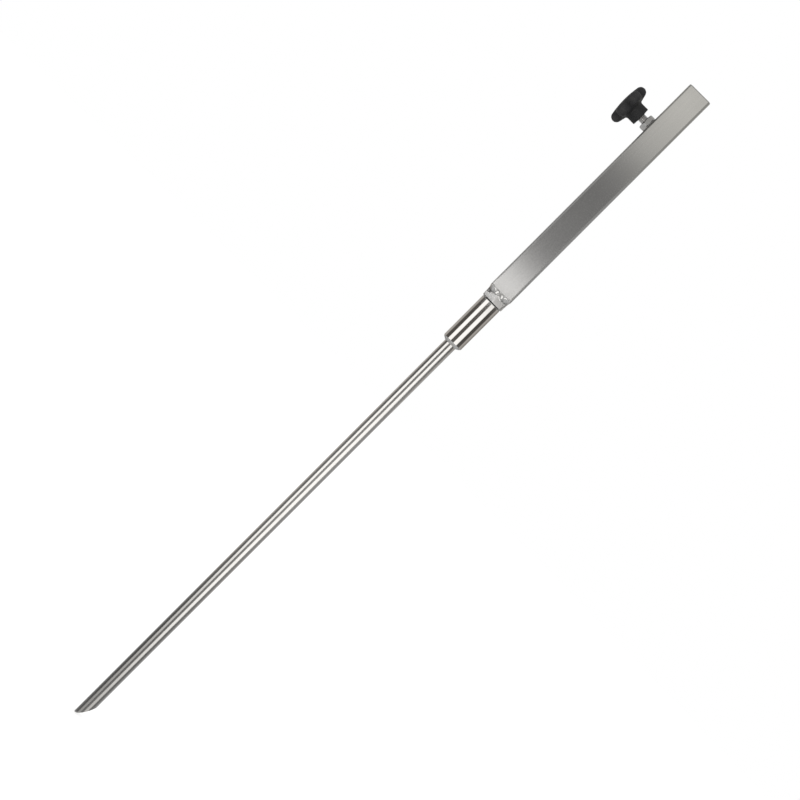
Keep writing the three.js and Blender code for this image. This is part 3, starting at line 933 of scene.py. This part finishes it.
# White for the camera and for what metal reflects, and a plain soft level for everything else.
def makeWorld():
    world = bpy.data.worlds.new("softLight")
    world.use_nodes = True
    tree = world.node_tree
    tree.nodes.clear()
    path = addNode(tree, "LightPath").outputs
    seen = plus(tree, path["Is Camera Ray"], path["Is Glossy Ray"])
    seen = plus(tree, seen, path["Is Transmission Ray"])
    level = between(tree, seen, 0, 1, ambient)
    ground = addNode(tree, "Background", {"Color": (1, 1, 1, 1), "Strength": level})
    addNode(tree, "OutputWorld", {"Surface": ground.outputs[0]})
    bpy.context.scene.world = world


# Name, place, width and height in metres, and power in watts. All of them face the target.
lamps = [
    ("keyLamp", (-1.2, -1.5, 0.2), (1.2, 1.2), 14),
    ("fillLamp", (1.9, -1.4, 1.2), (1.4, 1.4), 12),
]
lampTarget = (0, 0, 0.5)


def makeLamp(name, place, size, power):
    data = bpy.data.lights.new(name, "AREA")
    data.shape = "RECTANGLE"
    data.size, data.size_y = size
    data.energy = power
    lamp = stand(name, data)
    lamp.location = place
    lamp.rotation_euler = (Vector(lampTarget) - lamp.location).to_track_quat("-Z", "Y").to_euler()
    lamp.visible_glossy = False


floorSize = dict(radius=6, corners=96, level=-0.2 * mm, own=0.5, lit=(0.8, 0.8, 0.8, 1))


# A white floor that keeps the shadow: part of its white is its own light and part is lit.
# It is clear from below and isn't seen in the metal.
def makeFloor():
    angles = roundAngles(floorSize["corners"])
    ring = revolve(pathFrom([(floorSize["radius"], floorSize["level"])], angles), angles)[0]
    mesh = bpy.data.meshes.new("floor")
    mesh.from_pydata(ring.tolist(), [], [list(range(len(ring)))])
    floor = stand("floor", mesh)
    material, tree = newMaterial("paleFloor")
    own = times(tree, addNode(tree, "LightPath").outputs["Is Camera Ray"], floorSize["own"])
    own = addNode(tree, "Emission", {"Color": (1, 1, 1, 1), "Strength": own})
    lit = addNode(tree, "BsdfDiffuse", {"Color": floorSize["lit"]})
    both = addNode(tree, "AddShader", {0: lit.outputs[0], 1: own.outputs[0]})
    clear = addNode(tree, "BsdfTransparent")
    under = addNode(tree, "NewGeometry").outputs["Backfacing"]
    shown = addNode(tree, "MixShader", {0: under, 1: both.outputs[0], 2: clear.outputs[0]})
    addNode(tree, "OutputMaterial", {"Surface": shown.outputs[0]})
    mesh.materials.append(material)
    floor.visible_glossy = False


tentSize = dict(radius=1.2, low=-0.9, high=1.5, columns=180)
# Brightness round the tent by direction, in degrees from the front with plus X positive, at the
# height of the spike. Two tall white panels stand each side of the lens, with dark gaps between.
tentStripes = [
    (-180, 0.44), (-111, 0.44), (-103, 0.1), (-64, 0.07), (-59.5, 1.3), (-27, 1.3), (-22, 0.1),
    (8.5, 0.1), (13.5, 1.3), (48.5, 1.3), (54.5, 0.07), (90.5, 0.08), (96.5, 0.42), (120, 0.45),
    (126, 0.24), (180, 0.4),
]
# To the right of stretchStart the stripes are stretched: ranges of height, and the share of the
# angle past it that is added at each end.
stretchStart = 20.0
stretches = dict(wide=(0.3, 0.42, -0.3, 0.0), narrow=(-0.3, 0.05, 0.22, 0.0))
# The share of that light low down, by height in metres, for the left panel and for the right one.
leftDims = [
    (-0.45, 0.22), (-0.394, 0.27), (-0.326, 0.36), (-0.259, 0.42), (-0.192, 0.49), (-0.124, 0.61),
    (-0.057, 0.77), (0.012, 0.95), (0.08, 1.0),
]
rightDims = [
    (-0.45, 0.38), (-0.394, 0.46), (-0.326, 0.62), (-0.259, 0.74), (-0.192, 0.84), (-0.124, 0.95),
    (-0.057, 1.0), (0.08, 1.0),
]
# Brightness of the front of the tent by height, in metres, above the spike's share of it.
tentHeights = [
    (0.58, 1.3), (0.6, 1.2), (0.62, 1.27), (0.64, 0.8), (0.66, 0.46), (0.68, 0.3),
    (0.7, 0.185), (0.72, 0.2), (0.76, 0.2), (0.8, 0.155), (0.82, 0.13), (0.84, 0.16),
    (0.88, 0.205), (0.915, 0.46), (0.935, 0.58), (0.975, 0.62), (1.02, 0.76), (1.1, 0.72),
    (1.2, 0.52),
]
tentHeightEnds = (0.5, 1.5)
# The light from the sides and how much of it stands in for the front's, by direction.
tentSides = [
    (-180, 0.4), (-100, 0.4), (-90, 0.22), (-64, 0.22), (-48, 0.46), (-20, 0.5), (0, 0.4),
    (20, 0.34), (60, 0.3), (110, 0.4), (180, 0.4),
]
sideShares = [(-180, 1), (-62, 1), (-44, 0.75), (-26, 0.5), (-12, 0), (1.5, 0), (14, 1), (180, 1)]
# The light beside the tube's foot and its nut, and how much of it stands in for the front's.
collarShares = [(-180, 1), (-50, 1), (-36, 0), (14, 0), (26, 1), (180, 1)]
collarSides = [
    (-180, 0.5), (-110, 0.5), (-82, 0.35), (-77, 1.85), (-60, 1.85), (-55, 0.7), (-30, 1.0),
    (14, 0.33), (66, 0.33), (110, 0.4), (180, 0.5),
]
# The least light that the rod sees by direction, the share of it by height, and what its two edges
# see at every height.
rodLeast = [
    (-180, 0.2), (-110, 0.17), (-50, 0.17), (-24, 0.22), (-12, 0.3), (2, 0.3), (12, 0.26),
    (46, 0.26), (60, 0.32), (92, 0.34), (110, 0.25), (180, 0.2),
]
leastDims = [
    (-0.45, 0.46), (-0.26, 0.44), (-0.19, 0.5), (-0.12, 0.63), (0.02, 0.86), (0.09, 1.0),
    (0.26, 1.0), (0.38, 0.7), (0.48, 0.5),
]
edgeLeast = [
    (-180, 0.3), (-118, 0.27), (-98, 0.0), (86, 0.0), (98, 0.22), (116, 0.36), (140, 0.44),
    (180, 0.44),
]
# Where one light gives way to the next, by direction for the sides and by height for the rest.
tentBands = dict(
    side=(-8, 0), wall=(-0.5, -0.46, 1.0, 0.0), least=(0.472, 0.482, 1.0, 0.0),
    upper=(0.577, 0.582), collar=(0.597, 0.612), warm=(0.84, 0.96),
)
darkTint, brightTint, warmTint = (1.09, 0.99, 0.9, 1), (1.0, 0.985, 0.97, 1), (1.01, 1.0, 0.955, 1)
# The two end caps: their light from the front to the back, and that of the low cap and low wall.
capDepths, lowCapBand = (-0.65, -0.25, 0.34, 0.44), (-0.5, 0.0, 1.0, 0.0)
lowCapLight, lowWallLight = (0.56, 0.56, 0.56, 1), (0.42, 0.42, 0.42, 1)


# Looks a value up in a table of places and levels, which spans the ends given or its own.
def stops(tree, value, table, ends=None):
    low, high = ends or (table[0][0], table[-1][0])
    ramp = addNode(tree, "ValToRGB", {"Fac": between(tree, value, low, high)})
    line = ramp.color_ramp
    line.elements[0].position, line.elements[1].position = 0.0, 1.0
    while len(line.elements) < len(table):
        line.elements.new(0.5)
    for element, (place, level) in zip(line.elements, table):
        element.position = (place - low) / (high - low)
        element.color = (level, level, level, 1)
    return ramp.outputs["Color"]


# Light on the spike: the stripes, dimmed by height on each side, and never under the least light.
def lowerLight(tree, degrees, height):
    past = maths(tree, "MAXIMUM", maths(tree, "SUBTRACT", degrees, stretchStart), 0.0)
    stretch = between(tree, height, *stretches["wide"], kind="SMOOTHSTEP")
    stretch = plus(tree, stretch, between(tree, height, *stretches["narrow"]))
    stripes = stops(tree, plus(tree, degrees, times(tree, past, stretch)), tentStripes)
    stripes = tinted(tree, stripes, blended(tree, stripes, darkTint, brightTint))
    dims = [stops(tree, height, table) for table in (leftDims, rightDims)]
    light = tinted(tree, stripes, blended(tree, between(tree, degrees, *tentBands["side"]), *dims))
    least = tinted(tree, stops(tree, degrees, rodLeast), stops(tree, height, leastDims))
    least = blended(tree, 1.0, least, stops(tree, degrees, edgeLeast), mode="LIGHTEN")
    share = between(tree, height, *tentBands["least"])
    return blended(tree, share, light, least, mode="LIGHTEN")


# Light on the tube: the front's by height, the sides' by direction, and the collar's at its foot.
def upperLight(tree, degrees, height):
    front = stops(tree, height, tentHeights, tentHeightEnds)
    light, collar = [
        blended(tree, stops(tree, degrees, shares), front, stops(tree, degrees, sides))
        for shares, sides in ((sideShares, tentSides), (collarShares, collarSides))
    ]
    light = blended(tree, between(tree, height, *tentBands["collar"]), collar, light)
    warmth = between(tree, height, *tentBands["warm"])
    return blended(tree, warmth, light, tinted(tree, light, warmTint))


# A light tent round the stick that only reflections see.
def makeTent():
    reach, low, high = tentSize["radius"], tentSize["low"], tentSize["high"]
    path = np.array([(0, low), (reach, low), (reach, high), (0, high)])[:, None]
    points = revolve(path, roundAngles(tentSize["columns"]))
    tent = skinFromGrid("tent", points, closed=False)
    material, tree = newMaterial("tentCloth")
    right, back, height = addNode(tree, "SeparateXYZ", {0: objectSpot(tree)}).outputs
    turn = maths(tree, "ARCTAN2", right, times(tree, back, -1.0))
    degrees = maths(tree, "DEGREES", turn)
    rise = between(tree, height, *tentBands["upper"], kind="SMOOTHSTEP")
    lower, upper = lowerLight(tree, degrees, height), upperLight(tree, degrees, height)
    wall = blended(tree, rise, lower, upper)
    wall = blended(tree, between(tree, height, *tentBands["wall"]), wall, lowWallLight)
    cap = between(tree, back, *capDepths)
    cap = blended(tree, between(tree, height, *lowCapBand), cap, lowCapLight)
    normal = addNode(tree, "NewGeometry").outputs["True Normal"]
    level = maths(tree, "ABSOLUTE", addNode(tree, "SeparateXYZ", {0: normal}).outputs[2])
    colour = blended(tree, level, wall, cap)
    glow = addNode(tree, "Emission", {"Color": colour, "Strength": 1.0})
    addNode(tree, "OutputMaterial", {"Surface": glow.outputs[0]})
    material.cycles.emission_sampling = "NONE"
    tent.data.materials.append(material)
    for kind in ("camera", "diffuse", "transmission", "volume_scatter", "shadow"):
        setattr(tent, "visible_" + kind, False)


makeCamera()
makeWorld()
for lamp in lamps:
    makeLamp(*lamp)
makeFloor()
makeTent()
bpy.context.scene.view_settings.view_transform = "Standard"
print("studio made")
